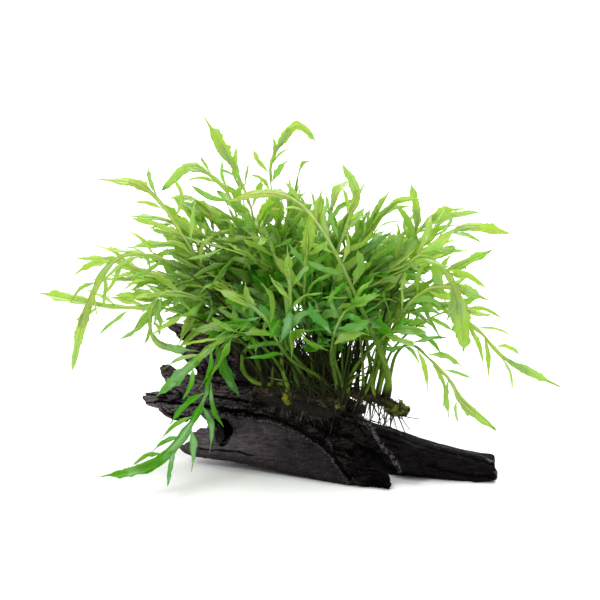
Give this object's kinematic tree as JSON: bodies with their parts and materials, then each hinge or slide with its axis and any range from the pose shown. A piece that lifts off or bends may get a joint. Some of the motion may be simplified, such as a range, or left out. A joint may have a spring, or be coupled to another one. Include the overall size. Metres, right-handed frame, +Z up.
{
  "type": "african water fern on driftwood",
  "caption": "Aquarium water fern creeping on a wedge of black driftwood, its fronds arching up and out to both sides over the wood.",
  "frame": {"origin": "a point on the wood's flat underside, below the middle of the plant", "axes": "+X from the wood's broken left end to its blunt right tongue, +Y away from the side with the front flap, +Z up"},
  "size_m": [0.3362, 0.1821, 0.229],
  "materials": {
    "driftwood": "wet, rough",
    "rhizome": "damp",
    "roots": "fibrous",
    "frond_green": "wet leaf"
  },
  "bodies": {
    "root": {"driftwood": "driftwood", "frond_arch_left": "frond_green", "frond_crown_left": "frond_green", "frond_crown_middle": "frond_green", "frond_crown_right": "frond_green", "frond_curled_left": "frond_green", "frond_drooping_left": "frond_green", "frond_far_left_high": "frond_green", "frond_far_left_low": "frond_green", "frond_far_right": "frond_green", "frond_front_low_left": "frond_green", "frond_front_low_right": "frond_green", "frond_front_middle": "frond_green", "frond_front_middle_left": "frond_green", "frond_front_middle_right": "frond_green", "frond_front_top": "frond_green", "frond_hanging_right": "frond_green", "frond_inner_01": "frond_green", "frond_inner_02": "frond_green", "frond_inner_03": "frond_green", "frond_inner_04": "frond_green", "frond_inner_05": "frond_green", "frond_inner_06": "frond_green", "frond_inner_07": "frond_green", "frond_inner_08": "frond_green", "frond_inner_09": "frond_green", "frond_inner_10": "frond_green", "frond_inner_11": "frond_green", "frond_inner_12": "frond_green", "frond_inner_13": "frond_green", "frond_inner_14": "frond_green", "frond_inner_15": "frond_green", "frond_inner_16": "frond_green", "frond_inner_17": "frond_green", "frond_inner_18": "frond_green", "frond_leaning_back": "frond_green", "frond_level_left": "frond_green", "frond_level_right": "frond_green", "frond_long_front_left": "frond_green", "frond_low_right": "frond_green", "frond_middle_left": "frond_green", "frond_over_wall": "frond_green", "frond_right_behind": "frond_green", "frond_right_front": "frond_green", "frond_right_high": "frond_green", "frond_short_front_left": "frond_green", "frond_short_middle": "frond_green", "frond_spear_right": "frond_green", "frond_upper_left": "frond_green", "frond_upper_right": "frond_green", "hanging_roots": "roots", "rhizome_front": "rhizome", "rhizome_left": "rhizome", "rhizome_right": "rhizome", "root_mat": "roots"}
  },
  "joints": []
}
